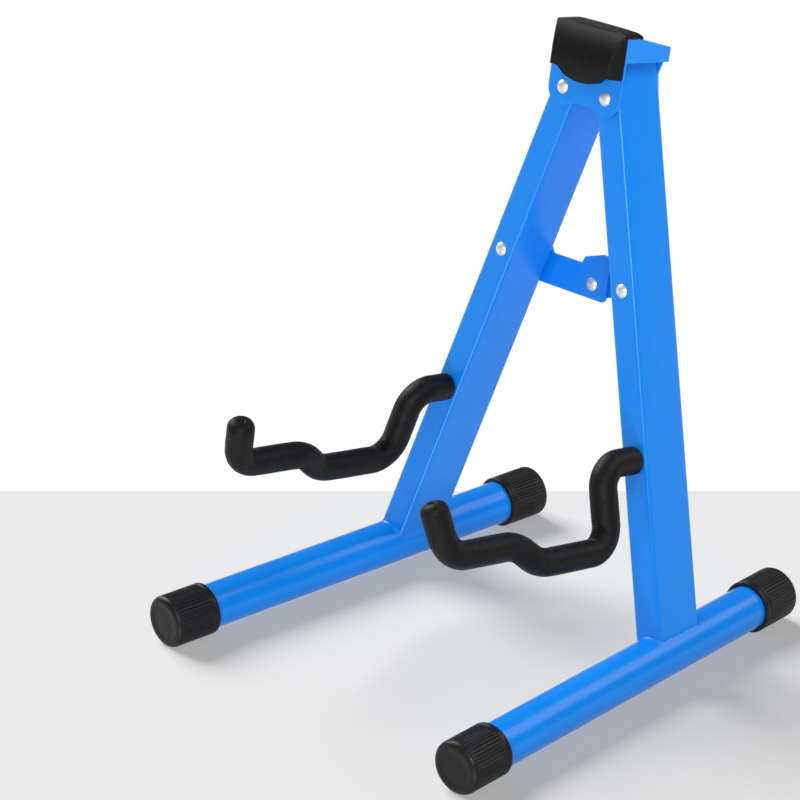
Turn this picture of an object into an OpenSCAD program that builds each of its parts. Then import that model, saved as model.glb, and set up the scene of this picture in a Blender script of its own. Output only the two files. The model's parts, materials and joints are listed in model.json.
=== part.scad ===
// Folding A-frame guitar stand. Millimetres, Z up, front (the arms) towards -Y.
// Origin: on the floor, at the middle of the footprint of the two base rails.

/* [Frame] */
// How far each leg leans out to its side, in degrees
spread = 16.8; // [15:0.1:18]
// How far the whole A-frame leans back, in degrees
lean = 10.2; // [8:0.1:12]
// How far each base rail turns outwards at its front, in degrees
toe = 3.8; // [2:0.1:4]
// Height of the head pins above the rail axis, measured along the leaning frame
head_u = 284.5; // [270:0.5:300]

/* [Legs] */
// Width of the leg tube, seen from the front
leg_w = 17; // [16:0.5:18]
// Depth of the leg tube, front to back
leg_d = 33; // [30:0.5:35]
// Wall of the leg tube
leg_wall = 1.5; // [1.2:0.1:2]
// Corner radius of the leg tube
leg_r = 2; // [2:0.1:3]
// How far the tube reaches past the head pin
leg_top = 24; // [20:0.5:24]

/* [Base rails] */
// Outside diameter of a rail
rail_dia = 25; // [22:0.5:26]
// Wall of a rail
rail_wall = 1.5; // [1.2:0.1:2]
// Bare length in front of the leg
rail_front = 146; // [130:1:160]
// Bare length behind the leg
rail_rear = 69.5; // [60:0.5:75]

/* [End caps] */
// Outside diameter of a cap
cap_dia = 29.4; // [28:0.1:30]
// Length of a cap
cap_len = 28.5; // [24:0.5:32]
// Thickness of the closed end
cap_end = 3; // [2:0.5:5]
// Depth of the flat worn on the underside
cap_flat = 0.3; // [0.2:0.05:0.5]

/* [Head] */
// Distance of a head pin from the middle
pin_x = 15.3; // [15:0.1:16.5]
// Thickness of the sheet
sheet = 1.5; // [1.2:0.1:2]
// Height of the top of the bracket above the head pins
bracket_rise = 34; // [33:0.5:38]
// Fall of the top towards the back
bracket_fall = 5.2; // [3:0.2:5.4]
// Height of the turned-down side tabs above the head pins
tab_rise = 21; // [19:0.5:23]
// Height of the notch between the front lobes, below the pins
notch_drop = 7; // [5:0.5:8]
// Width of the pad
pad_w = 51; // [44:0.5:51]
// How far the pad stands out at its thickest
pad_out = 6.8; // [5:0.1:9]
// Thickness of the lip of the pad over the bracket
pad_lip = 2.8; // [2:0.1:4]

/* [Brace] */
// Height of the brace pins below the head pins
brace_drop = 97.5; // [90:0.5:105]
// Side offset of the middle rivet
mid_x = -6.5; // [-7:0.1:-3]
// Drop of the middle rivet below the brace pins
mid_drop = 12.8; // [11:0.1:15]
// Thickness of a link
link_t = 2; // [1.5:0.1:2.5]
// Half width of a link
link_r = 8.6; // [8:0.1:9]
// Stand-off between the left leg and its link
link_gap = 2.3; // [2.2:0.1:3]

/* [Arms] */
// Diameter of the steel rod
rod_dia = 8; // [7:0.1:9]
// Outside diameter of the foam sleeve
sleeve_dia = 15.2; // [13:0.1:16]
// Height of an arm on its leg, from the rail axis
arm_s = 105; // [95:0.5:115]

/* [Fasteners] */
// Diameter of the pins and the rivet
pin_dia = 4.5; // [4:0.1:5]
// Diameter of their domed heads
head_dia = 7.6; // [7:0.1:8.5]
// Height of a domed head
head_h = 1.7; // [1.4:0.1:1.8]

/* [Hidden] */
$fn = 64;

LEFT = -1;
RIGHT = 1;
BLUE = [0.08, 0.50, 0.93];
BLACK = [0.07, 0.07, 0.07];
STEEL = [0.80, 0.80, 0.80];
NYLON = [0.88, 0.87, 0.82];

run_gap = 0.05;            // radial clearance where one piece turns on another
seat_gap = 0.02;           // radial clearance where one piece is fixed in another
slip_gap = 0.05;           // radial clearance under a stretched sleeve or cap
skin = 0.01;               // overlap that keeps neighbouring cuts clean
washer_t = 0.5;            // nylon washers on the head pins
washer_dia = 10.4;
mid_washer_t = 0.3;        // nylon washer between the two links
tail_dia = 6.4;            // the formed end of a pin
tail_h = 1;
open_gap = 0.3;            // axial gap at the opened right brace pivot
swing_gap = 0.3;           // legs to bracket tabs when folded
bush_wall = 1;
bead = 1.6;                // size of a weld bead
fixed_bore = pin_dia + 2 * seat_gap;
turning_bore = pin_dia + 2 * run_gap;

rail_z = cap_dia / 2 - cap_flat;
foot_y = (rail_front - rail_rear) / 2 * cos(toe);    // the legs stand behind the middle
leg_len = head_u / cos(spread);                      // head pin to rail axis, along the leg
rail_x = pin_x + head_u * tan(spread);
brace_x = pin_x + brace_drop * tan(spread);
brace_s = brace_drop / cos(spread);                  // head pin to brace pin, along the leg

leg_front = -leg_d / 2;
leg_back = leg_d / 2;
plate_in = leg_back + washer_t;                      // inner face of the bracket plates
plate_out = plate_in + sheet;
bracket_half = pin_x + leg_w / 2 + swing_gap + sheet;
link_front = leg_back + link_gap;                    // front face of the left link
link_back = link_front + link_t;
link2_front = link_back + mid_washer_t;              // front face of the right link
link2_back = link2_front + link_t;
link2_seat = leg_back + open_gap;                    // front face of its outer end, behind the leg

// The leaning plane of the frame: X as in the world, +Y backwards square to the legs,
// Z up the frame from the rail axis.
module frame_plane() {
    translate([0, foot_y, rail_z]) rotate([-lean, 0, 0]) children();
}

// A frame at a leg's head pin, with Z up along that leg.
module leg_plane(side) {
    frame_plane() translate([side * pin_x, 0, head_u]) rotate([0, -side * spread, 0]) children();
}

// A frame where a leg meets its rail, with Y along the rail.
module rail_plane(side) {
    translate([side * rail_x, foot_y, rail_z]) rotate([0, 0, side * toe]) children();
}

module rounded_rect(w, d, r) {
    square([w - 2 * r, d], center = true);
    square([w, d - 2 * r], center = true);
    for (x = [-1, 1], y = [-1, 1])
        translate([x * (w / 2 - r), y * (d / 2 - r)]) circle(r);
}

// A cylinder along +Y from y0 to y1.
module rod_y(d, y0, y1) {
    translate([0, y0, 0]) rotate([-90, 0, 0]) cylinder(d = d, h = y1 - y0);
}

// A ring along +Y from y0 to y1.
module ring_y(d_out, d_in, y0, y1) {
    difference() {
        rod_y(d_out, y0, y1);
        rod_y(d_in, y0 - 1, y1 + 1);
    }
}

// A flat plate standing across Y, drawn in X and Z.
module plate_y(y0, y1) {
    translate([0, y1, 0]) rotate([90, 0, 0]) linear_extrude(y1 - y0) children();
}

// A domed rivet head on the plane y = 0, standing out towards -Y.
module dome_y() {
    ball = (pow(head_dia / 2, 2) + pow(head_h, 2)) / (2 * head_h);
    intersection() {
        translate([0, ball - head_h, 0]) sphere(r = ball, $fn = 96);
        rod_y(head_dia, -head_h, 0);
    }
}

// A pin with a dome in front and a formed head behind.
module pin_y(y0, y1) {
    rod_y(pin_dia, y0 - skin, y1 + skin);
    translate([0, y0, 0]) dome_y();
    rod_y(tail_dia, y1, y1 + tail_h);
}

/* ---- base ---- */

module base_rail(side) {
    reach = cap_len - cap_end;
    color(BLUE) rail_plane(side)
        ring_y(rail_dia, rail_dia - 2 * rail_wall, -rail_front - reach, rail_rear + reach);
}

// end = 1 for the back of the rail, -1 for its front
module end_cap(side, end) {
    edge = 2.5;
    start = end > 0 ? rail_rear : rail_front;
    bore = rail_dia / 2 + slip_gap;
    color(BLACK) difference() {
        rail_plane(side) translate([0, end * start, 0]) rotate([-90 * end, 0, 0])
            rotate_extrude() difference() {
                union() {
                    square([cap_dia / 2, cap_len - edge]);
                    square([cap_dia / 2 - edge, cap_len]);
                    translate([cap_dia / 2 - edge, cap_len - edge]) circle(edge);
                }
                translate([-cap_dia, -1]) square([cap_dia, cap_len + 2]);
                translate([-1, -1]) square([bore + 1, cap_len - cap_end + 1 + slip_gap]);
            }
        translate([-rail_front * 2, -rail_front * 2, -cap_dia])
            cube([rail_front * 4, rail_front * 4, cap_dia]);
    }
}

/* ---- legs ---- */

module leg_blank(side) {
    leg_plane(side) translate([0, 0, -leg_len])
        linear_extrude(leg_len + leg_top) rounded_rect(leg_w, leg_d, leg_r);
}

module leg(side) {
    color(BLUE) difference() {
        leg_blank(side);
        leg_plane(side) translate([0, 0, -leg_len - 1])
            linear_extrude(leg_len + leg_top + 2)
                rounded_rect(leg_w - 2 * leg_wall, leg_d - 2 * leg_wall, leg_r - leg_wall);
        rail_plane(side) rod_y(rail_dia, -leg_d, leg_d);
        leg_plane(side) {
            for (s = [0, brace_s])
                translate([0, 0, -s])
                    rod_y(fixed_bore + 2 * bush_wall, -leg_d, leg_d);
            translate([0, 0, arm_s - leg_len]) rod_y(rod_dia + 2 * seat_gap, -leg_d, leg_d);
        }
    }
}

// The bead run round the foot of a leg where it stands on its rail.
module foot_weld(side) {
    color(BLUE) difference() {
        intersection() {
            leg_plane(side) translate([0, 0, -leg_len]) linear_extrude(leg_len / 4)
                rounded_rect(leg_w + 2 * bead, leg_d + 2 * bead, leg_r + bead);
            rail_plane(side) rod_y(rail_dia + 2 * bead, -leg_d, leg_d);
        }
        leg_blank(side);
        rail_plane(side) rod_y(rail_dia, -2 * leg_d, 2 * leg_d);
    }
}

/* ---- arms ---- */

// One arm is a chain of straight runs and bends in the plane of its leg.
// Each step is [straight length before the bend, bend angle, bend radius].
// The hump and the tip keep to 3-4-5 and 7-24-25 slopes.
drop = 44.5;               // fall from the stub to the cradle
stub = 26;                 // reach of the stub in front of the leg
floor_run = 54;            // level run from the drop to the hump
hump_run = 16;
hump_rise = 12;
far_run = 49;              // level run from the hump to the upturned tip
tip_len = 30.5;
hump_a = atan2(hump_rise, hump_run);
tip_a = atan2(24, 7);      // angle the tip turns up through
r_stub = 13;
r_drop = 14;
r_hump = 24;
r_tip = 16;

function trim(angle, r) = r * tan(abs(angle) / 2);
function arm_steps(tail, cut) = [
    [tail + stub - trim(90, r_stub), -90, r_stub],
    [drop - trim(90, r_stub) - trim(90, r_drop), 90, r_drop],
    [floor_run - trim(90, r_drop) - trim(hump_a, r_hump), hump_a, r_hump],
    [norm([hump_run, hump_rise]) - 2 * trim(hump_a, r_hump), -hump_a, r_hump],
    [far_run - trim(hump_a, r_hump) - trim(tip_a, r_tip), tip_a, r_tip],
    [tip_len - trim(tip_a, r_tip) - cut, 0, 0]
];

// A bend that starts at the origin along +X and turns up towards +Z.
module elbow(d, r, angle) {
    reach = r + d;
    rotate([90, 0, 0]) translate([0, r, 0]) rotate([0, 0, -90]) difference() {
        rotate_extrude(angle = 90) translate([r, 0]) circle(d = d);
        if (angle < 90)
            rotate([0, 0, angle]) translate([0, 0, -d]) cube([reach, reach, 2 * d]);
    }
}

// A round bar that follows the steps, starting along +X and bending in the X-Z plane.
module bent_bar(d, steps, i = 0) {
    if (i < len(steps)) {
        run = steps[i][0];
        angle = steps[i][1];
        r = steps[i][2];
        turn = sign(angle);
        rotate([0, 90, 0]) cylinder(d = d, h = run);
        translate([run, 0, 0]) {
            if (angle != 0)
                mirror([0, 0, turn < 0 ? 1 : 0]) elbow(d, r, abs(angle));
            translate([r * sin(abs(angle)), 0, turn * r * (1 - cos(angle))])
                rotate([0, -angle, 0]) bent_bar(d, steps, i + 1);
        }
    }
}

// Places a bar so that it leaves the front of the leg towards -Y; tail is the length behind.
module arm_place(side, tail) {
    leg_plane(side) translate([0, leg_front + tail, arm_s - leg_len])
        rotate([0, 0, -90]) children();
}

rod_tail = leg_d + 2;      // the rod runs through the leg and 2 mm out of its back
sleeve_back = -0.6;        // the foam starts just clear of the leg
rod_recess = 4;            // the rod ends inside the foam

module arm_rod(side) {
    color(STEEL) arm_place(side, rod_tail) bent_bar(rod_dia, arm_steps(rod_tail, rod_recess));
}

module arm_sleeve(side) {
    color(BLACK) difference() {
        arm_place(side, sleeve_back) bent_bar(sleeve_dia, arm_steps(sleeve_back, 0));
        arm_place(side, 1) bent_bar(rod_dia + 2 * slip_gap, arm_steps(1, -1));
    }
}

module arm_weld(side) {
    foot_w = 2.5;              // width of the bead on the leg
    crown_w = 0.75;            // and where it meets the end of the rod
    crown_h = 1.8;
    color(BLUE) leg_plane(side) translate([0, leg_back, arm_s - leg_len]) difference() {
        rotate([-90, 0, 0])
            cylinder(d1 = rod_dia + 2 * foot_w, d2 = rod_dia + 2 * crown_w, h = crown_h);
        rod_y(rod_dia, -1, crown_h + 1);
    }
}

/* ---- head ---- */

// Outline of the front plate: two round lobes about the pins and square ears above.
module front_outline() {
    for (side = [LEFT, RIGHT])
        translate([side * pin_x, head_u]) circle(bracket_half - pin_x);
    translate([-pin_x, head_u - notch_drop]) square([2 * pin_x, notch_drop + 1]);
    translate([-bracket_half, head_u]) square([2 * bracket_half, bracket_rise]);
}

// Outline of the back plate: it narrows to two small lobes that stay behind the legs.
module back_outline() {
    lobe = 6;
    neck = bracket_half - 7;
    neck_z = 13;
    for (side = [LEFT, RIGHT])
        translate([side * pin_x, head_u]) circle(lobe);
    translate([0, head_u]) polygon([
        [-bracket_half, bracket_rise], [-neck, neck_z], [-pin_x - lobe, 0], [-pin_x, -lobe],
        [pin_x, -lobe], [pin_x + lobe, 0], [neck, neck_z], [bracket_half, bracket_rise]]);
}

// Side view of the bracket, as [y, z] points, its top lowered by t.
module bracket_side(half, t) {
    knee = -9;
    top = head_u + bracket_rise - t;
    polygon([[-half, 0], [-half, top], [knee, top], [half, top - bracket_fall], [half, 0]]);
}

module across_x(half) {
    translate([-half, 0, 0]) rotate([90, 0, 90]) linear_extrude(2 * half) children();
}

module head_bracket() {
    color(BLUE) frame_plane() difference() {
        intersection() {
            union() {
                plate_y(-plate_out, plate_in) front_outline();
                plate_y(plate_in, plate_out) back_outline();
            }
            across_x(bracket_half) bracket_side(plate_out, 0);
        }
        across_x(bracket_half - sheet) bracket_side(plate_in, sheet);
        translate([-bracket_half - 1, -plate_in, 0])
            cube([2 * bracket_half + 2, 2 * plate_in, head_u + tab_rise]);
        for (s = [-1, 1]) translate([s * pin_x, 0, head_u])
            rod_y(fixed_bore, -leg_d, leg_d);
    }
}

// Front view of the pad: full width above, a round-bottomed lobe with sloped sides below.
module pad_outline(low, top) {
    sag = 1.6;                     // how much lower the middle of the lobe is than its corners
    lobe = 10.5;                   // half width of the lobe at its bottom corners
    slope = 5.5;                   // width of a sloped side
    shoulder = low + 7;
    lobe_r = (pow(lobe, 2) + pow(sag, 2)) / (2 * sag);
    translate([-pad_w / 2, shoulder]) square([pad_w, top - shoulder]);
    intersection() {
        translate([0, low + lobe_r]) circle(lobe_r, $fn = 128);
        polygon([[-lobe - slope, shoulder + skin], [-lobe, low + sag], [-lobe, low], [lobe, low],
            [lobe, low + sag], [lobe + slope, shoulder + skin]]);
    }
}

// The moulded pad: it bulges forward, with a lip back over the bracket.
module head_pad() {
    low = head_u + 5.6;
    bulge_z = head_u + 17.5;       // height of the fullest part
    swell = 30;                    // radius of the bulging front
    lip_back = -6;                 // back edge of the lip
    end_in = 3.5;                  // how far the ends slope in
    top = head_u + bracket_rise + pad_lip;
    front = plate_out + pad_out;
    color(BLACK) frame_plane() intersection() {
        plate_y(-leg_d, 0) pad_outline(low, top);
        across_x(pad_w / 2) {
            intersection() {
                translate([swell - front, bulge_z]) circle(swell, $fn = 128);
                translate([-leg_d, low]) square([leg_d - plate_out, top - low]);
            }
            translate([-plate_out - skin, top - pad_lip])
                square([plate_out + skin + lip_back, pad_lip]);
        }
        translate([0, 0, head_u]) linear_extrude(top) polygon([
            [-pad_w / 2, 0], [-pad_w / 2, -plate_out], [end_in - pad_w / 2, -front],
            [pad_w / 2 - end_in, -front], [pad_w / 2, -plate_out], [pad_w / 2, 0]]);
    }
}

module at_head_pin(side) {
    frame_plane() translate([side * pin_x, 0, head_u]) children();
}

module head_pin(side) {
    color(STEEL) at_head_pin(side) pin_y(-plate_out, plate_out);
}

module head_washers(side) {
    color(NYLON) at_head_pin(side) {
        ring_y(washer_dia, fixed_bore, leg_back, plate_in);
        ring_y(washer_dia, fixed_bore, -plate_in, leg_front);
    }
}

// Sleeves that keep the leg tube from being squeezed flat.
module leg_bush(side, s, bore) {
    color(STEEL) leg_plane(side) translate([0, 0, -s])
        ring_y(pin_dia + 2 * bush_wall, bore, leg_front, leg_back);
}

/* ---- brace ---- */

mid_z = head_u - brace_drop - mid_drop;
link_bottom = -8.2;        // edges of the left link, from the middle rivet
link_top = 9.6;
link_end = 10.6;
ear_r = 4.8;               // radius of a link about its leg's pin
jog = 24;                  // where the right link starts to step forward, from the middle rivet

module at_brace_pin(side) {
    frame_plane() translate([side * brace_x, 0, head_u - brace_drop]) children();
}

module at_mid() {
    frame_plane() translate([mid_x, 0, mid_z]) children();
}

// Left link, from the middle rivet: a level bar with a thumb tab, and an ear up to its pin.
module left_link_outline() {
    px = -brace_x - mid_x;
    heel = px - 1.5;
    heel_r = 4;
    toe_r = 2.5;
    tab_z = link_top + 8.3;
    difference() {
        union() {
            translate([px, mid_drop]) circle(ear_r);
            translate([heel, link_bottom + heel_r]) circle(heel_r);
            translate([link_end - toe_r, link_bottom + toe_r]) circle(toe_r);
            polygon([
                [px - ear_r, mid_drop], [heel - heel_r, link_bottom + heel_r], [heel, link_bottom],
                [link_end - toe_r, link_bottom], [link_end, link_bottom + toe_r],
                [link_end + 0.7, tab_z - 0.4], [5, tab_z], [-7.5, link_top + 4.3],
                [-9.5, link_top], [px + ear_r + 2, link_top], [px + ear_r, mid_drop]]);
        }
        translate([px, mid_drop]) circle(d = turning_bore);
        circle(d = fixed_bore);
    }
}

module left_brace_link() {
    color(BLUE) at_mid() plate_y(link_front, link_back) left_link_outline();
}

// Right link: a bar that narrows towards its leg, and steps forward to lie behind it.
module right_brace_link() {
    reach = brace_x - mid_x;
    span = norm([reach, mid_drop]);
    waist = link_r - 0.25;         // half widths of the bar at its two ends
    end_waist = ear_r - 0.25;
    step = link2_front - link2_seat;
    far = span + ear_r + 1;
    color(BLUE) at_mid() rotate([0, -atan2(mid_drop, reach), 0]) difference() {
        intersection() {
            union() {
                rod_y(2 * link_r, leg_back, link2_back + 1);
                translate([span, 0, 0]) rod_y(2 * ear_r, leg_back, link2_back + 1);
                plate_y(leg_back, link2_back + 1)
                    polygon([[0, waist], [span, end_waist], [span, -end_waist], [0, -waist]]);
            }
            translate([0, 0, -link_r - 1]) linear_extrude(2 * link_r + 2) polygon([
                [-link_r - 1, link2_front], [jog, link2_front], [jog + step, link2_seat], [far, link2_seat],
                [far, link2_seat + link_t], [jog + step + 1, link2_seat + link_t],
                [jog + 1, link2_back], [-link_r - 1, link2_back]]);
        }
        rod_y(turning_bore, leg_back, link2_back + 1);
        translate([span, 0, 0]) rod_y(fixed_bore, leg_back, link2_back + 1);
    }
}

module brace_rivet() {
    color(STEEL) at_mid() pin_y(link_front, link2_back + run_gap);
}

module brace_washer() {
    color(NYLON) at_mid()
        ring_y(washer_dia, fixed_bore, link_back, link2_front);
}

module left_brace_pin() {
    color(STEEL) at_brace_pin(LEFT) pin_y(leg_front, link_back + run_gap);
}

// The right pin stops flush with the back of its leg, because this pivot is the opened one.
module right_brace_pin() {
    color(STEEL) at_brace_pin(RIGHT) {
        rod_y(pin_dia, leg_front - skin, leg_back);
        translate([0, leg_front, 0]) dome_y();
    }
}

module left_brace_spacer() {
    color(NYLON) at_brace_pin(LEFT)
        ring_y(washer_dia, fixed_bore, leg_back, link_front);
}

module right_brace_stud() {
    color(STEEL) at_brace_pin(RIGHT) {
        rod_y(pin_dia, link2_seat, link2_seat + link_t + skin);
        translate([0, link2_seat + link_t, 0]) rod_y(tail_dia, 0, tail_h);
    }
}

base_rail(LEFT);  // left_base_rail
base_rail(RIGHT);  // right_base_rail
end_cap(LEFT, -1);  // left_front_cap
end_cap(LEFT, 1);  // left_rear_cap
end_cap(RIGHT, -1);  // right_front_cap
end_cap(RIGHT, 1);  // right_rear_cap
leg(LEFT);  // left_leg
leg(RIGHT);  // right_leg
foot_weld(LEFT);  // left_foot_weld
foot_weld(RIGHT);  // right_foot_weld
arm_rod(LEFT);  // left_arm_rod
arm_rod(RIGHT);  // right_arm_rod
arm_sleeve(LEFT);  // left_arm_sleeve
arm_sleeve(RIGHT);  // right_arm_sleeve
arm_weld(LEFT);  // left_arm_weld
arm_weld(RIGHT);  // right_arm_weld
head_bracket();
head_pad();
head_pin(LEFT);  // left_head_pin
head_pin(RIGHT);  // right_head_pin
leg_bush(LEFT, 0, turning_bore);  // left_head_bush
leg_bush(RIGHT, 0, turning_bore);  // right_head_bush
head_washers(LEFT);  // left_head_washers
head_washers(RIGHT);  // right_head_washers
left_brace_link();
right_brace_link();
brace_rivet();
brace_washer();
left_brace_pin();
right_brace_pin();
leg_bush(LEFT, brace_s, fixed_bore);  // left_brace_bush
leg_bush(RIGHT, brace_s, fixed_bore);  // right_brace_bush
left_brace_spacer();
right_brace_stud();
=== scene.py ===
# Looks of the folding guitar stand. Positions are in metres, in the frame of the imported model.
import json
import math

import bpy
from mathutils import Matrix, Vector, noise


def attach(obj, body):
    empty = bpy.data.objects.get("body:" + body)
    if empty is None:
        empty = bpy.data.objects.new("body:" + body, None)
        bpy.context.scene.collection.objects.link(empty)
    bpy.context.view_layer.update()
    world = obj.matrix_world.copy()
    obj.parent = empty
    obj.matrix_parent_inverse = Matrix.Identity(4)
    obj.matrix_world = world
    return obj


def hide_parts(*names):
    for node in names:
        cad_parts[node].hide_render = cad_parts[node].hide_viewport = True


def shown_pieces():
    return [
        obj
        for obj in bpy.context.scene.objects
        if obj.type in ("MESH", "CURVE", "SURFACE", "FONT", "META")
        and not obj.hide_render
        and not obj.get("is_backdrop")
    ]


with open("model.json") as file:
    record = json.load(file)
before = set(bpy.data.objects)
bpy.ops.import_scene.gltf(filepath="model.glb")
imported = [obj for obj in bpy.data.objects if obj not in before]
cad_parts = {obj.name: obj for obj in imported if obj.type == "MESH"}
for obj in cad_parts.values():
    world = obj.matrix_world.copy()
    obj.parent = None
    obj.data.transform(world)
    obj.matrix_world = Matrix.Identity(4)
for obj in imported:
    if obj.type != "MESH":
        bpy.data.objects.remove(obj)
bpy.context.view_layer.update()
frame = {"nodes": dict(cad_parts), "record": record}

# ---- the stand's own dimensions, in metres and radians, the same as in the part's source ----
SPREAD, LEAN, TOE = math.radians(16.8), math.radians(10.2), math.radians(3.8)
HEAD_U, PIN_X = 0.2845, 0.0153                # a head pin: up the leaning plane, and out from the middle
RAIL_FRONT, RAIL_REAR = 0.146, 0.0695         # a rail's reach to the front and rear of its leg
RAIL_R, RAIL_Z = 0.0125, 0.0144
CAP_R, CAP_LEN = 0.0147, 0.0285
LEG_W, LEG_D, LEG_R = 0.017, 0.033, 0.002     # a leg's section: width, depth, corner radius
ROD_R, SLEEVE_R, ARM_S = 0.004, 0.0076, 0.105     # an arm's rod and sleeve, and its place up the leg
PLATE_OUT, BRACKET_RISE = 0.0185, 0.034       # the bracket's front face, and its top above the pins
PAD_W, PAD_OUT, PAD_LIP = 0.051, 0.0068, 0.0028   # the pad's width, thickness in front and on top
SIDES = {"left": -1, "right": 1}

LEG_LEN = HEAD_U / math.cos(SPREAD)
RAIL_X = PIN_X + HEAD_U * math.tan(SPREAD)
FOOT_Y = (RAIL_FRONT - RAIL_REAR) / 2 * math.cos(TOE)

QUARTER = math.pi / 2                         # a quarter turn

# The plane the legs lie in: origin between the feet, Z up the plane, Y backwards.
FRAME_PLANE = Matrix.Translation((0, FOOT_Y, RAIL_Z)) @ Matrix.Rotation(-LEAN, 4, "X")


def leg_plane(side):
    """A frame at a leg's head pin, Z up along the leg, Y backwards."""
    return (FRAME_PLANE @ Matrix.Translation((side * PIN_X, 0, HEAD_U))
            @ Matrix.Rotation(-side * SPREAD, 4, "Y"))


def rail_plane(side):
    """A frame where a leg meets its rail, Y backwards along the rail."""
    return Matrix.Translation((side * RAIL_X, FOOT_Y, RAIL_Z)) @ Matrix.Rotation(side * TOE, 4, "Z")


# ---- materials ----
NOISE_LOW, NOISE_HIGH = 0.3, 0.7              # the part of a noise's values that makes the full change


def new_material(name, color, rough, metal=0.0, specular=0.5):
    mat = bpy.data.materials.new(name)
    mat.use_nodes = True
    bsdf = mat.node_tree.nodes["Principled BSDF"]
    bsdf.inputs["Base Color"].default_value = (*color, 1)
    bsdf.inputs["Roughness"].default_value = rough
    bsdf.inputs["Metallic"].default_value = metal
    bsdf.inputs["Specular IOR Level"].default_value = specular
    return mat, mat.node_tree, bsdf


def add_noise(tree, scale, detail=3.0):
    """A noise texture on object coordinates."""
    coord = tree.nodes.new("ShaderNodeTexCoord")
    tex = tree.nodes.new("ShaderNodeTexNoise")
    tex.inputs["Scale"].default_value = scale
    tex.inputs["Detail"].default_value = detail
    tree.links.new(coord.outputs["Object"], tex.inputs["Vector"])
    return tex.outputs["Fac"]


def add_bump(tree, bsdf, fac, distance, strength, under=None):
    """Roughens the surface with a noise, on top of another bump if one is given."""
    bump = tree.nodes.new("ShaderNodeBump")
    bump.inputs["Distance"].default_value = distance
    bump.inputs["Strength"].default_value = strength
    tree.links.new(fac, bump.inputs["Height"])
    if under:
        tree.links.new(under.outputs["Normal"], bump.inputs["Normal"])
    tree.links.new(bump.outputs["Normal"], bsdf.inputs["Normal"])
    return bump


def vary_rough(tree, bsdf, fac, low, high):
    """Varies the roughness with a noise, between two values."""
    ramp = tree.nodes.new("ShaderNodeMapRange")
    ramp.inputs["From Min"].default_value = NOISE_LOW
    ramp.inputs["From Max"].default_value = NOISE_HIGH
    ramp.inputs["To Min"].default_value = low
    ramp.inputs["To Max"].default_value = high
    tree.links.new(fac, ramp.inputs["Value"])
    tree.links.new(ramp.outputs["Result"], bsdf.inputs["Roughness"])


def vary_color(tree, bsdf, fac, dark, light):
    """Varies the colour with a noise, between two colours."""
    ramp = tree.nodes.new("ShaderNodeValToRGB")
    for stop, position, color in zip(ramp.color_ramp.elements, (NOISE_LOW, NOISE_HIGH), (dark, light)):
        stop.position = position
        stop.color = (*color, 1)
    tree.links.new(fac, ramp.inputs["Fac"])
    tree.links.new(ramp.outputs["Color"], bsdf.inputs["Base Color"])


def powder_coat():
    mat, tree, bsdf = new_material("blue_powder_coat", (0.003, 0.245, 0.86), 0.24, specular=0.30)
    vary_color(tree, bsdf, add_noise(tree, 60), dark=(0.0026, 0.238, 0.840), light=(0.0034, 0.252, 0.880))
    vary_rough(tree, bsdf, add_noise(tree, 900, 2), low=0.21, high=0.27)
    grain = add_bump(tree, bsdf, add_noise(tree, 1500, 2), distance=0.00004, strength=0.12)
    add_bump(tree, bsdf, add_noise(tree, 220, 1), distance=0.00010, strength=0.12, under=grain)
    return mat


def moulded_rubber(name, specular):
    mat, tree, bsdf = new_material(name, (0.006, 0.006, 0.0065), 0.42, specular=specular)
    vary_color(tree, bsdf, add_noise(tree, 300), dark=(0.005, 0.005, 0.0055), light=(0.008, 0.008, 0.0085))
    vary_rough(tree, bsdf, add_noise(tree, 700), low=0.36, high=0.50)
    add_bump(tree, bsdf, add_noise(tree, 2600, 4), distance=0.00006, strength=0.4)
    return mat


def foam_rubber():
    mat, tree, bsdf = new_material("black_foam", (0.004, 0.004, 0.0044), 0.50, specular=0.22)
    vary_color(tree, bsdf, add_noise(tree, 200), dark=(0.0032, 0.0032, 0.0035), light=(0.005, 0.005, 0.0054))
    vary_rough(tree, bsdf, add_noise(tree, 500), low=0.45, high=0.62)
    pores = add_bump(tree, bsdf, add_noise(tree, 2200, 5), distance=0.00010, strength=0.5)
    add_bump(tree, bsdf, add_noise(tree, 260, 2), distance=0.00025, strength=0.4, under=pores)
    return mat


def steel(name, color, rough, metal=1.0):
    mat, tree, bsdf = new_material(name, color, rough, metal)
    vary_rough(tree, bsdf, add_noise(tree, 1200, 4), low=rough * 0.75, high=rough * 1.3)
    add_bump(tree, bsdf, add_noise(tree, 1800, 2), distance=0.00003, strength=0.3)
    return mat


def nylon():
    mat, tree, bsdf = new_material("white_nylon", (0.72, 0.70, 0.62), 0.45)
    bsdf.inputs["Subsurface Weight"].default_value = 0.1
    vary_rough(tree, bsdf, add_noise(tree, 800), low=0.4, high=0.5)
    return mat


# Every material slot of the record, and pad_rubber, a duller look for the pad's black_rubber.
MATERIALS = {
    "blue_powder_coat": powder_coat(),
    "black_rubber": moulded_rubber("black_rubber", specular=0.28),
    "pad_rubber": moulded_rubber("pad_rubber", specular=0.14),
    "black_foam": foam_rubber(),
    "plated_steel": steel("plated_steel", (0.48, 0.48, 0.50), 0.38),
    "bright_steel": steel("bright_steel", (0.80, 0.79, 0.78), 0.36, metal=0.6),
    "white_nylon": nylon(),
}


# ---- mesh helpers ----
def add_object(name, data):
    obj = bpy.data.objects.new(name, data)
    bpy.context.scene.collection.objects.link(obj)
    return obj


def make_piece(name, verts, faces, slot, body, node, smooth_angle, look=None):
    """A piece that stands for one CAD node and moves with its body.

    Its material is the slot's own, or else the one that look names.
    """
    mesh = bpy.data.meshes.new(name)
    mesh.from_pydata([tuple(v) for v in verts], [], faces)
    mesh.validate()
    mesh.update()
    mesh.shade_smooth()
    mesh.set_sharp_from_angle(angle=math.radians(smooth_angle))
    obj = add_object(name, mesh)
    mesh.materials.append(MATERIALS[look or slot])
    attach(obj, body)
    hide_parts(node)
    return obj


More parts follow.
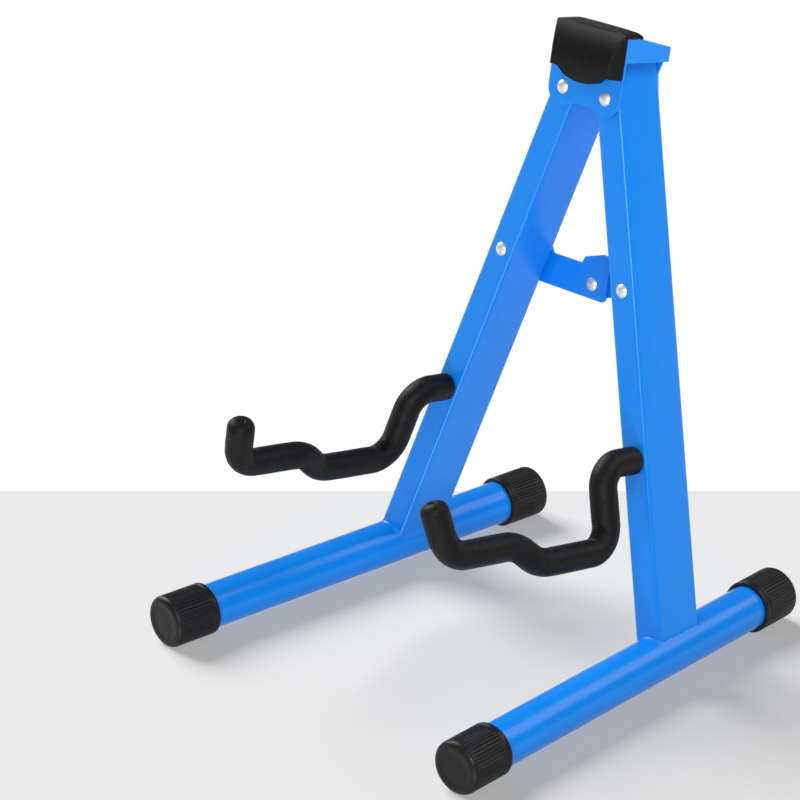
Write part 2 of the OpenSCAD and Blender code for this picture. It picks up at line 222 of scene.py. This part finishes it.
def skin_rings(rings, closed_ends=True):
    """Quads between rings of equal count, and a fan over the first and the last ring."""
    count = len(rings[0])
    verts = [v for ring in rings for v in ring]
    faces = []
    for i in range(len(rings) - 1):
        a, b = i * count, (i + 1) * count
        for k in range(count):
            n = (k + 1) % count
            faces.append((a + k, a + n, b + n, b + k))
    if closed_ends:
        for ring, start, flip in ((rings[0], 0, True), (rings[-1], (len(rings) - 1) * count, False)):
            verts.append(sum((Vector(v) for v in ring), Vector()) / count)
            centre = len(verts) - 1
            for k in range(count):
                fan = (start + k, start + (k + 1) % count, centre)
                faces.append(fan[::-1] if flip else fan)
    return verts, faces


def round_noise(angle, lumps, along):
    """Noise that joins up round a circle. More lumps make it busier, and along picks its place."""
    return noise.noise(Vector((math.cos(angle) * lumps, math.sin(angle) * lumps, along)))


def round_edges(obj, name, width, segments, sharper_than):
    """A bevel on the edges that turn by more than an angle in degrees."""
    bevel = obj.modifiers.new(name, "BEVEL")
    bevel.width = width
    bevel.segments = segments
    bevel.limit_method = "ANGLE"
    bevel.angle_limit = math.radians(sharper_than)
    return bevel


# ---- rubber end caps ----
def cap_profile():
    """(radius, height along the rail, rib strength) from the mouth of the cap to its closed end."""
    rim, rim_groove = 0.0040, CAP_R - 0.0003       # a plain ring round the mouth, with a groove above it
    rib_rows, rib_step = 15, 0.00130
    edge, edge_steps = 0.0032, 8                   # the rounded edge at the closed end
    points = [(RAIL_R + 0.0001, 0.0006, 0), (RAIL_R + 0.0002, 0.0001, 0), (CAP_R - 0.0006, 0, 0),
              (CAP_R - 0.0002, 0.0002, 0), (CAP_R, 0.0007, 0), (CAP_R, 0.0026, 0),
              (rim_groove, 0.0030, 0), (rim_groove, 0.0034, 0), (CAP_R, rim, 0.5)]
    points += [(CAP_R, rim + k * rib_step, 1) for k in range(1, rib_rows + 1)]
    for k in range(edge_steps + 1):
        a = k / edge_steps * QUARTER
        points.append((CAP_R - edge + edge * math.cos(a), CAP_LEN - edge + edge * math.sin(a),
                       max(0, 0.8 - k / 4)))       # the ribs run out on the way round
    dish = ((0.0098, 0.00002), (0.0094, 0.0002), (0.0088, 0.0003), (0.0050, 0.0002), (0.0015, 0.0001))
    return points + [(radius, CAP_LEN - depth, 0) for radius, depth in dish]


def end_cap(side_name, end_name):
    """A ribbed cap on one end of a rail, flattened a little where it stands on the floor."""
    side, end = SIDES[side_name], (1 if end_name == "rear" else -1)
    start = RAIL_REAR if end > 0 else RAIL_FRONT
    place = rail_plane(side)
    count, ribs, rib_depth, uneven = 352, 44, 0.00034, 0.006
    rings = []
    for radius, height, rib in cap_profile():
        ring = []
        for k in range(count):
            a = 2 * math.pi * k / count * end
            groove = max(0.0, math.cos(ribs * a)) ** 2
            r = radius - rib_depth * rib * groove
            r = min(r * (1 + uneven * round_noise(a, 1.3, height * 90 + 7 * end)), CAP_R)
            p = place @ Vector((r * math.cos(a), end * (start + height), r * math.sin(a)))
            p.z = max(p.z, 0.0)
            ring.append(p)
        rings.append(ring)
    verts, faces = skin_rings(rings)
    faces = [f[::-1] for f in faces]
    node = f"{side_name}_{end_name}_cap"
    return make_piece(node + "_moulded", verts, faces, "black_rubber", side_name + "_leg", node,
                      smooth_angle=50)


# ---- foam arm sleeves ----
ARM_POINTS, PATH_STEP = 72, 0.0004            # points round the arm, and the step along it


def turned(v, angle):
    return Vector((v.x * math.cos(angle) - v.y * math.sin(angle),
                   v.x * math.sin(angle) + v.y * math.cos(angle)))


def arm_path():
    """The arm's centre line from the front of the leg, as a list of (point, heading, turn).

    A point is (forward, up). The turn is 1 in an upward bend, -1 in a downward one and 0 between bends.
    """
    stub, drop, near_run, slope, far_run, tip_len = 0.026, 0.0445, 0.054, 0.020, 0.049, 0.0305
    r_stub, r_drop, r_hump, r_tip = 0.013, 0.014, 0.024, 0.016
    hump, tip = math.atan2(12, 16), math.atan2(24, 7)      # rise over run of the hump's slope and of the tip

    def trim(angle, r):
        """What a bend takes off the straight on each side of it."""
        return r * math.tan(abs(angle) / 2)

    runs = [                                               # straight length, then the bend after it
        (stub - trim(QUARTER, r_stub), -QUARTER, r_stub),
        (drop - trim(QUARTER, r_stub) - trim(QUARTER, r_drop), QUARTER, r_drop),
        (near_run - trim(QUARTER, r_drop) - trim(hump, r_hump), hump, r_hump),
        (slope - 2 * trim(hump, r_hump), -hump, r_hump),
        (far_run - trim(hump, r_hump) - trim(tip, r_tip), tip, r_tip),
        (tip_len - trim(tip, r_tip), 0, 0)]
    pos, heading, path = Vector((0, 0)), 0.0, []
    for length, angle, radius in runs:
        count = max(1, round(length / PATH_STEP))
        direction = Vector((math.cos(heading), math.sin(heading)))
        path += [(pos + direction * length * k / count, heading, 0.0) for k in range(count)]
        pos = pos + direction * length
        if angle:
            turn = math.copysign(1, angle)
            centre = pos + Vector((-direction.y, direction.x)) * turn * radius
            arm = pos - centre
            count = max(1, round(abs(angle) * radius / PATH_STEP))
            for k in range(count):
                part = angle * k / count
                path.append((centre + turned(arm, part), heading + part, turn))
            pos = centre + turned(arm, angle)
            heading += angle
    path.append((pos, heading, 0.0))
    return path


def smoothed(values, span):
    """A running average over span values to each side."""
    out = []
    for i in range(len(values)):
        near = values[max(0, i - span):i + span + 1]
        out.append(sum(near) / len(near))
    return out


def sleeve(side_name):
    """A foam sleeve over an arm's rod, creased inside the bends, with a rounded and dimpled tip."""
    side = SIDES[side_name]
    place = leg_plane(side) @ Matrix.Translation((0, -LEG_D / 2, ARM_S - LEG_LEN))
    path = arm_path()
    bend = smoothed([turn for _, _, turn in path], 12)     # eased in and out over a dozen steps
    crease_gap, crease_depth, crease_curl, thinning = 0.0019, 0.00055, 1.3, 0.00008
    lump_size, fine_lump_size = 0.00011, 0.00005

    def ring_at(index, radius, push=0.0, lumps=1.0):
        """A ring round a point of the path, pushed along it; lumps scales the creases and unevenness."""
        (forward, up), heading, _ = path[index]
        along = Vector((0, -math.cos(heading), math.sin(heading)))
        lift = Vector((0, math.sin(heading), math.cos(heading)))
        centre = Vector((0, -forward, up)) + along * push
        ring = []
        s = index * PATH_STEP
        for k in range(ARM_POINTS):
            a = 2 * math.pi * k / ARM_POINTS
            inner = max(0.0, math.sin(a) * bend[index])          # towards the inside of the bend
            outer = max(0.0, -math.sin(a) * bend[index])
            fold = 0.5 + 0.5 * math.sin(2 * math.pi * s / crease_gap + crease_curl * math.sin(a * 2) + side)
            r = radius - lumps * (crease_depth * inner ** 0.9 * fold + thinning * outer)
            r += lumps * lump_size * round_noise(a, 1.2, s * 70 + 5 * side)
            r += lumps * fine_lump_size * round_noise(a, 3, s * 420 + 9 * side)
            ring.append(place @ (centre + Vector((1, 0, 0)) * r * math.cos(a) + lift * r * math.sin(a)))
        return ring

    # The mouth near the leg: its face, then its small rounded edge.
    gap, mouth_edge, mouth_steps, dished = 0.0006, 0.0009, 5, 0.0004
    rings = [ring_at(0, ROD_R + 0.0002, gap + dished, 0), ring_at(0, SLEEVE_R - 0.0012, gap, 0)]
    for k in range(1, mouth_steps + 1):
        a = k / mouth_steps * QUARTER
        rings.append(ring_at(0, SLEEVE_R - mouth_edge + mouth_edge * math.sin(a),
                             gap + mouth_edge * (1 - math.cos(a)), 0.5))
    # The long part, then the rounded tip and the dimple in its end.
    tip_edge, tip_steps = 0.0052, 12
    end = len(path) - 1
    first = round((gap + mouth_edge + PATH_STEP) / PATH_STEP)
    last = end - round((tip_edge + PATH_STEP) / PATH_STEP)
    rings += [ring_at(i, SLEEVE_R) for i in range(first, last + 1)]
    for k in range(tip_steps + 1):
        a = k / tip_steps * QUARTER
        rings.append(ring_at(end, SLEEVE_R - tip_edge + tip_edge * math.cos(a),
                             -tip_edge + tip_edge * math.sin(a), 0.9))
    dimple = ((0.0019, 0.0001), (0.0015, 0.0005), (0.0011, 0.0012), (0.0005, 0.0015))
    rings += [ring_at(end, radius, -depth, 0.5) for radius, depth in dimple]
    verts, faces = skin_rings(rings)
    obj = make_piece(side_name + "_foam_sleeve", verts, faces, "black_foam", side_name + "_leg",
                     side_name + "_arm_sleeve", smooth_angle=60)
    return obj


# ---- weld fillets ----
def leg_outline(grow, per_corner=10, per_side=8):
    """Points round the leg's rounded section, made bigger by grow."""
    half_w, half_d, r = LEG_W / 2 - LEG_R, LEG_D / 2 - LEG_R, LEG_R + grow
    points = []
    corners = [(half_w, half_d, 0), (-half_w, half_d, 90), (-half_w, -half_d, 180), (half_w, -half_d, 270)]
    for i, (x, y, start) in enumerate(corners):
        for k in range(per_corner + 1):
            a = math.radians(start + 90 * k / per_corner)
            points.append(Vector((x + r * math.cos(a), y + r * math.sin(a))))
        next_x, next_y, next_start = corners[(i + 1) % 4]
        a = math.radians(next_start)
        side_end = Vector((next_x + r * math.cos(a), next_y + r * math.sin(a)))
        side_start = points[-1]
        points += [side_start.lerp(side_end, k / per_side) for k in range(1, per_side)]
    return points


def foot_fillet(side_name):
    """A smooth bead where the leg meets the round rail."""
    side = SIDES[side_name]
    place = leg_plane(side)
    to_rail = rail_plane(side).inverted() @ place
    bead, steps, sunk, uneven = 0.0016, 7, 0.0001, 0.10    # sunk hides the bead's two edges in the metal

    def height_on_rail(p, radius):
        """Height in the leg's frame where the line up the leg through p comes out of the rail."""
        base, below = to_rail @ Vector((p.x, p.y, 0)), to_rail @ Vector((p.x, p.y, -1))
        d = below - base
        a = d.x * d.x + d.z * d.z
        b = 2 * (base.x * d.x + base.z * d.z)
        c = base.x ** 2 + base.z ** 2 - radius ** 2
        return -((-b - math.sqrt(max(0.0, b * b - 4 * a * c))) / (2 * a))

    rings = []
    for j in range(steps + 1):
        t = j / steps * QUARTER
        grow = bead * (1 - math.sin(t))
        lift = bead * (1 - math.cos(t))
        ring = []
        for p in leg_outline(grow - (sunk if j == steps else 0)):
            ripple = 1 + uneven * noise.noise(Vector((p.x * 260, p.y * 260, 3.0 + side)))
            z = height_on_rail(p, RAIL_R - (sunk if j == 0 else 0)) + lift * ripple
            ring.append(place @ Vector((p.x, p.y, z)))
        rings.append(ring)
    verts, faces = skin_rings(rings, closed_ends=False)
    return make_piece(side_name + "_foot_fillet", verts, faces, "blue_powder_coat", side_name + "_leg",
                      side_name + "_foot_weld", smooth_angle=80)


def arm_fillet(side_name):
    """A lumpy bead round the rod's end at the back of the leg."""
    side = SIDES[side_name]
    place = leg_plane(side) @ Matrix.Translation((0, LEG_D / 2, ARM_S - LEG_LEN))
    width, height, steps = 0.0025, 0.0019, 8
    angles = [2 * math.pi * k / ARM_POINTS for k in range(ARM_POINTS)]
    lumps = [1 + 0.10 * math.sin(a * 11 + side) + 0.12 * round_noise(a, 1, 4.0) for a in angles]

    def ring_of(radii, y):
        return [place @ Vector((r * math.cos(a), y, -r * math.sin(a))) for a, r in zip(angles, radii)]

    rings = []
    for j in range(steps + 1):
        t = j / steps
        radii = [ROD_R + width * lump * (1 - t) ** 0.9 for lump in lumps]
        rings.append(ring_of(radii, height * math.sin(t * QUARTER) ** 0.8))
    rings.append(ring_of([ROD_R * 0.99] * ARM_POINTS, height))
    verts, faces = skin_rings(rings)
    return make_piece(side_name + "_arm_fillet", verts, faces, "blue_powder_coat", side_name + "_leg",
                      side_name + "_arm_weld", smooth_angle=80)


# ---- moulded head pad ----
def pad_bottom(x):
    """Height of the pad's lower edge above the head pins: a round lobe between two shoulders."""
    low, corner, shoulder = 0.0056, 0.0070, 0.0118         # heights: middle and ends of the lobe, shoulder
    lobe, slope = 0.0095, 0.0075                           # half the lobe's width, and the climb beside it
    if abs(x) < lobe:
        return low + (corner - low) * (x / lobe) ** 2
    t = min(1.0, (abs(x) - lobe) / slope)
    return corner + (shoulder - corner) * t * t * (3 - 2 * t)


def head_pad():
    """The rubber pad over the bracket's front and top, bulging forwards, its ends drawn in."""
    swell, bulge_u = 0.030, 0.0175                         # radius of the bulge, and its middle's height
    end_in, lip_back, clear = 0.0050, -0.006, 0.00005      # clear keeps the pad off the bracket's top
    sag, end_drop, skin = 0.0004, 0.0016, 0.0001           # the top's fall to its ends; the least thickness
    top = BRACKET_RISE + PAD_LIP
    half = PAD_W / 2
    place = FRAME_PLANE @ Matrix.Translation((0, 0, HEAD_U))
    stations, front_steps, top_steps = 90, 30, 6
    xs = sorted({round(-half + PAD_W * k / stations, 6) for k in range(stations + 1)}
                | {round(s * (half - end_in), 6) for s in (-1, 1)})
    back = lip_back - 0.0003
    rings = []
    for x in xs:
        bottom = pad_bottom(x)
        reach = PAD_OUT * min(1.0, (half - abs(x)) / end_in) + 2 * skin
        crown = top - sag * (x / half) ** 2 - end_drop * abs(x / half) ** 12
        loop = [(-PLATE_OUT, bottom)]                      # points (backwards, up) round the section at x
        for k in range(front_steps + 1):
            up = bottom + (crown - bottom) * k / front_steps
            bulge = swell - PLATE_OUT - PAD_OUT - math.sqrt(swell ** 2 - (up - bulge_u) ** 2)
            loop.append((min(max(bulge, -PLATE_OUT - reach), -PLATE_OUT - skin), up))
        front = loop[-1][0]
        loop += [(front + (back - front) * k / top_steps, crown) for k in range(1, top_steps + 1)]
        loop += [(back, BRACKET_RISE + clear), (-PLATE_OUT, BRACKET_RISE + clear)]
        rings.append([place @ Vector((x, y, z)) for y, z in loop])
    verts, faces = skin_rings(rings)
    obj = make_piece("moulded_pad", verts, faces, "black_rubber", "head", "head_pad",
                     smooth_angle=50, look="pad_rubber")
    round_edges(obj, "rounding", width=0.0018, segments=5, sharper_than=28)
    return obj


# ---- finish the carried-over CAD nodes ----
EDGE_WIDTHS = {"blue_powder_coat": 0.0003, "bright_steel": 0.0002}
OTHER_EDGE_WIDTH = 0.00012


def finish_cad(obj, slot):
    """Gives a CAD node its material and softly rounded edges."""
    obj.data.materials.clear()
    obj.data.materials.append(MATERIALS[slot])
    if "custom_normal" in obj.data.attributes:
        obj.data.attributes.remove(obj.data.attributes["custom_normal"])
    weld = obj.modifiers.new("weld", "WELD")
    weld.merge_threshold = 0.000001
    flats = obj.modifiers.new("flats", "DECIMATE")         # joins the triangles of each flat face
    flats.decimate_type = "DISSOLVE"
    flats.angle_limit = math.radians(0.5)
    obj.data.shade_smooth()
    width = EDGE_WIDTHS.get(slot, OTHER_EDGE_WIDTH)
    edges = round_edges(obj, "edges", width, segments=3, sharper_than=32)
    edges.harden_normals = True


slots = {s["node"]: s["material_slot"] for s in frame["record"]["subparts"]}
for name, obj in frame["nodes"].items():
    finish_cad(obj, slots[name])

for side_name in SIDES:
    for end_name in ("front", "rear"):
        end_cap(side_name, end_name)
    sleeve(side_name)
    foot_fillet(side_name)
    arm_fillet(side_name)
head_pad()

# ---- stage: floor and backdrop ----
FAR = 150                      # how far the floor and backdrop reach, so that no view sees their ends
AZ, EL = math.radians(46.0), math.radians(23.0)
FLOOR_EDGE = 0.1917            # from the origin to the far edge of the grey floor, along the view
FLOOR_Z = -0.0001
ahead = Vector((-math.sin(AZ), math.cos(AZ), 0))
right = Vector((math.cos(AZ), math.sin(AZ), 0))


def glowing(name, grey, rough, strength):
    """A matt grey with some white light of its own."""
    mat, _, bsdf = new_material(name, (grey, grey, grey), rough, specular=0.0)
    bsdf.inputs["Emission Color"].default_value = (1, 1, 1, 1)
    bsdf.inputs["Emission Strength"].default_value = strength
    return mat


def flat(name, near, far, mat):
    """A wide level sheet between two distances ahead of the origin."""
    corners = [ahead * near - right * FAR, ahead * near + right * FAR,
               ahead * far + right * FAR, ahead * far - right * FAR]
    mesh = bpy.data.meshes.new(name)
    mesh.from_pydata([(c.x, c.y, FLOOR_Z) for c in corners], [], [(0, 1, 2, 3)])
    mesh.materials.append(mat)
    obj = add_object(name, mesh)
    obj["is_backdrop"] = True
    return obj


# Part of the floor's grey is its own light, so the blue paint tints it less. The backdrop only glows.
floor = flat("floor", -FAR, FLOOR_EDGE, glowing("floor", grey=0.30, rough=0.7, strength=0.37))
backdrop = flat("backdrop", FLOOR_EDGE, FAR, glowing("backdrop", grey=0.0, rough=0.8, strength=1.02))


# ---- stage: camera and light ----
def aim(obj, way):
    """Points a camera or light along a direction, with its top up."""
    obj.rotation_mode = "QUATERNION"
    obj.rotation_quaternion = Vector(way).to_track_quat("-Z", "Y")


def area_light(name, where, target, size, power):
    data = bpy.data.lights.new(name, "AREA")
    data.energy = power
    data.size = size
    obj = add_object(name, data)
    obj.location = where
    aim(obj, Vector(target) - Vector(where))
    return obj


def sun_light(name, way, power, spread):
    """A far light that shines one way; spread is its apparent width in degrees."""
    data = bpy.data.lights.new(name, "SUN")
    data.energy = power
    data.angle = math.radians(spread)
    obj = add_object(name, data)
    aim(obj, way)
    return obj


def group(name, objects):
    made = bpy.data.collections.new(name)
    for obj in objects:
        made.objects.link(obj)
    return made


camera = add_object("camera", bpy.data.cameras.new("camera"))
camera.location = Vector((1.1377, -1.1996 + FOOT_Y, 0.8311))
aim(camera, (-math.sin(AZ) * math.cos(EL), math.cos(AZ) * math.cos(EL), -math.sin(EL)))
sideways = Matrix.Rotation(math.radians(0.052), 3, "Y").to_quaternion()
camera.rotation_quaternion = camera.rotation_quaternion @ sideways
camera.data.lens = 148.3
camera.data.sensor_width = 36
camera.data.clip_start, camera.data.clip_end = 0.05, 3 * FAR
bpy.context.scene.camera = camera

# The stand and the stage are lit apart. The key light on both comes from the same way, so the floor
# keeps one soft shadow, and the fills reach only the stand.
KEY_WAY, KEY_SPREAD = (0.79, 0, -0.61), 36
MIDDLE = Vector((0, 0.03, 0.14))
stand_only = group("stand_only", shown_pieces())
stand_lights = [sun_light("key", KEY_WAY, power=2.5, spread=KEY_SPREAD),
                area_light("front", Vector((0.35, -1.6, 1.0)), MIDDLE, size=1.2, power=4.0),
                area_light("side", Vector((1.25, 0.25, 1.75)), MIDDLE, size=1.0, power=9.3),
                area_light("edge", Vector((1.05, -1.05, 0.75)), MIDDLE, size=0.20, power=9),
                area_light("top", Vector((0.70, 1.15, 1.20)), MIDDLE, size=0.9, power=7)]
# A glint along the left leg's front inner edge. It shines from below, so the floor must not block it.
glint = sun_light("glint", (-0.401, 0.792, 0.459), power=0.5, spread=6)
glint.light_linking.blocker_collection = stand_only
for light in stand_lights + [glint]:
    light.light_linking.receiver_collection = stand_only
stage_key = sun_light("stage_key", KEY_WAY, power=7.1, spread=KEY_SPREAD)
stage_key.light_linking.receiver_collection = group("stage_only", [floor, backdrop])

world = bpy.data.worlds.new("studio")
world.use_nodes = True
background = world.node_tree.nodes["Background"]
background.inputs["Color"].default_value = (1, 1, 1, 1)
background.inputs["Strength"].default_value = 0.15
bpy.context.scene.world = world
bpy.context.scene.view_settings.view_transform = "Standard"
